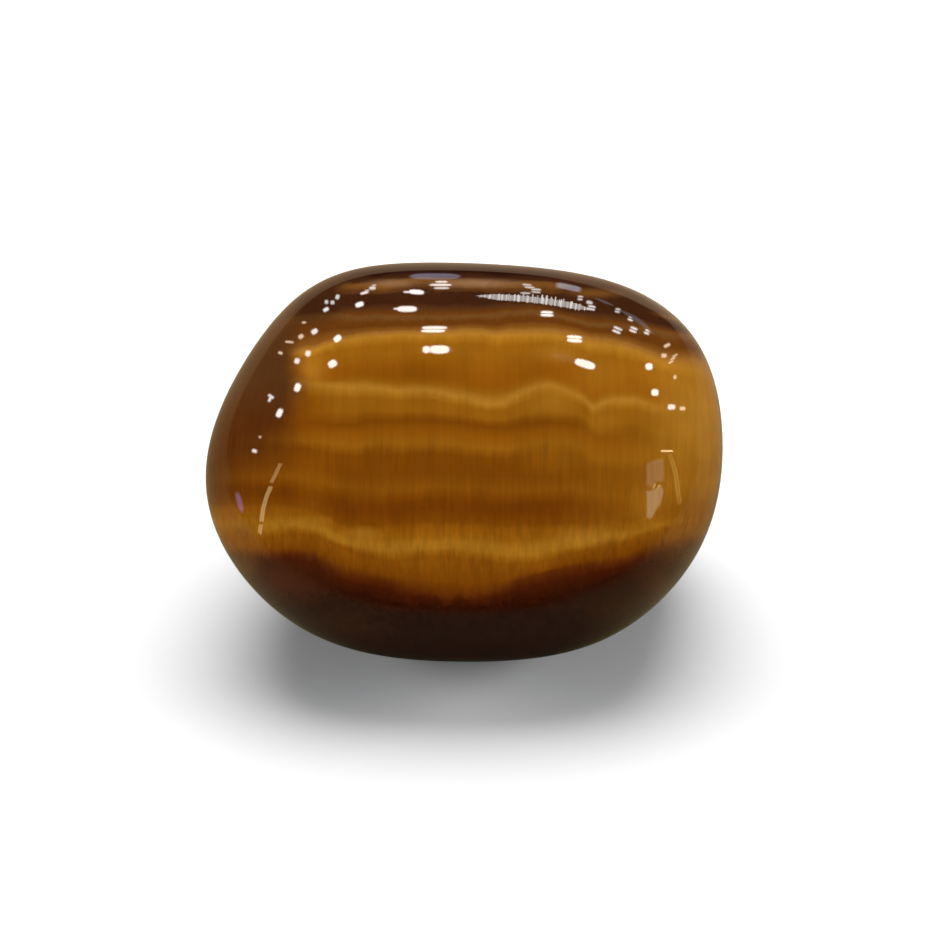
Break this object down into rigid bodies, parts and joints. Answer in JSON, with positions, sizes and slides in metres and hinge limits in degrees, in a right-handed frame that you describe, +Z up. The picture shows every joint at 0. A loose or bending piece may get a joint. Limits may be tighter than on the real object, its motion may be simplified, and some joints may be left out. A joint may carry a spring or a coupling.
{
  "type": "tumbled tiger's eye stone",
  "caption": "Tumbled and polished tiger's eye pebble with golden and dark brown fibre bands, leaning back on a small worn flat.",
  "frame": {"origin": "on the surface the stone lies on, under the middle of its bounding box", "axes": "+Z up from the flat it lies on, +X along the stone's longest side, -Y towards the front, where the banded broad side looks forward and up"},
  "size_m": [0.0298, 0.0216, 0.0222],
  "materials": {
    "tigers_eye": "mirror polish over silky golden and dark brown bands whose fine fibres run across them"
  },
  "bodies": {
    "root": {"stone": "tigers_eye"}
  },
  "joints": []
}
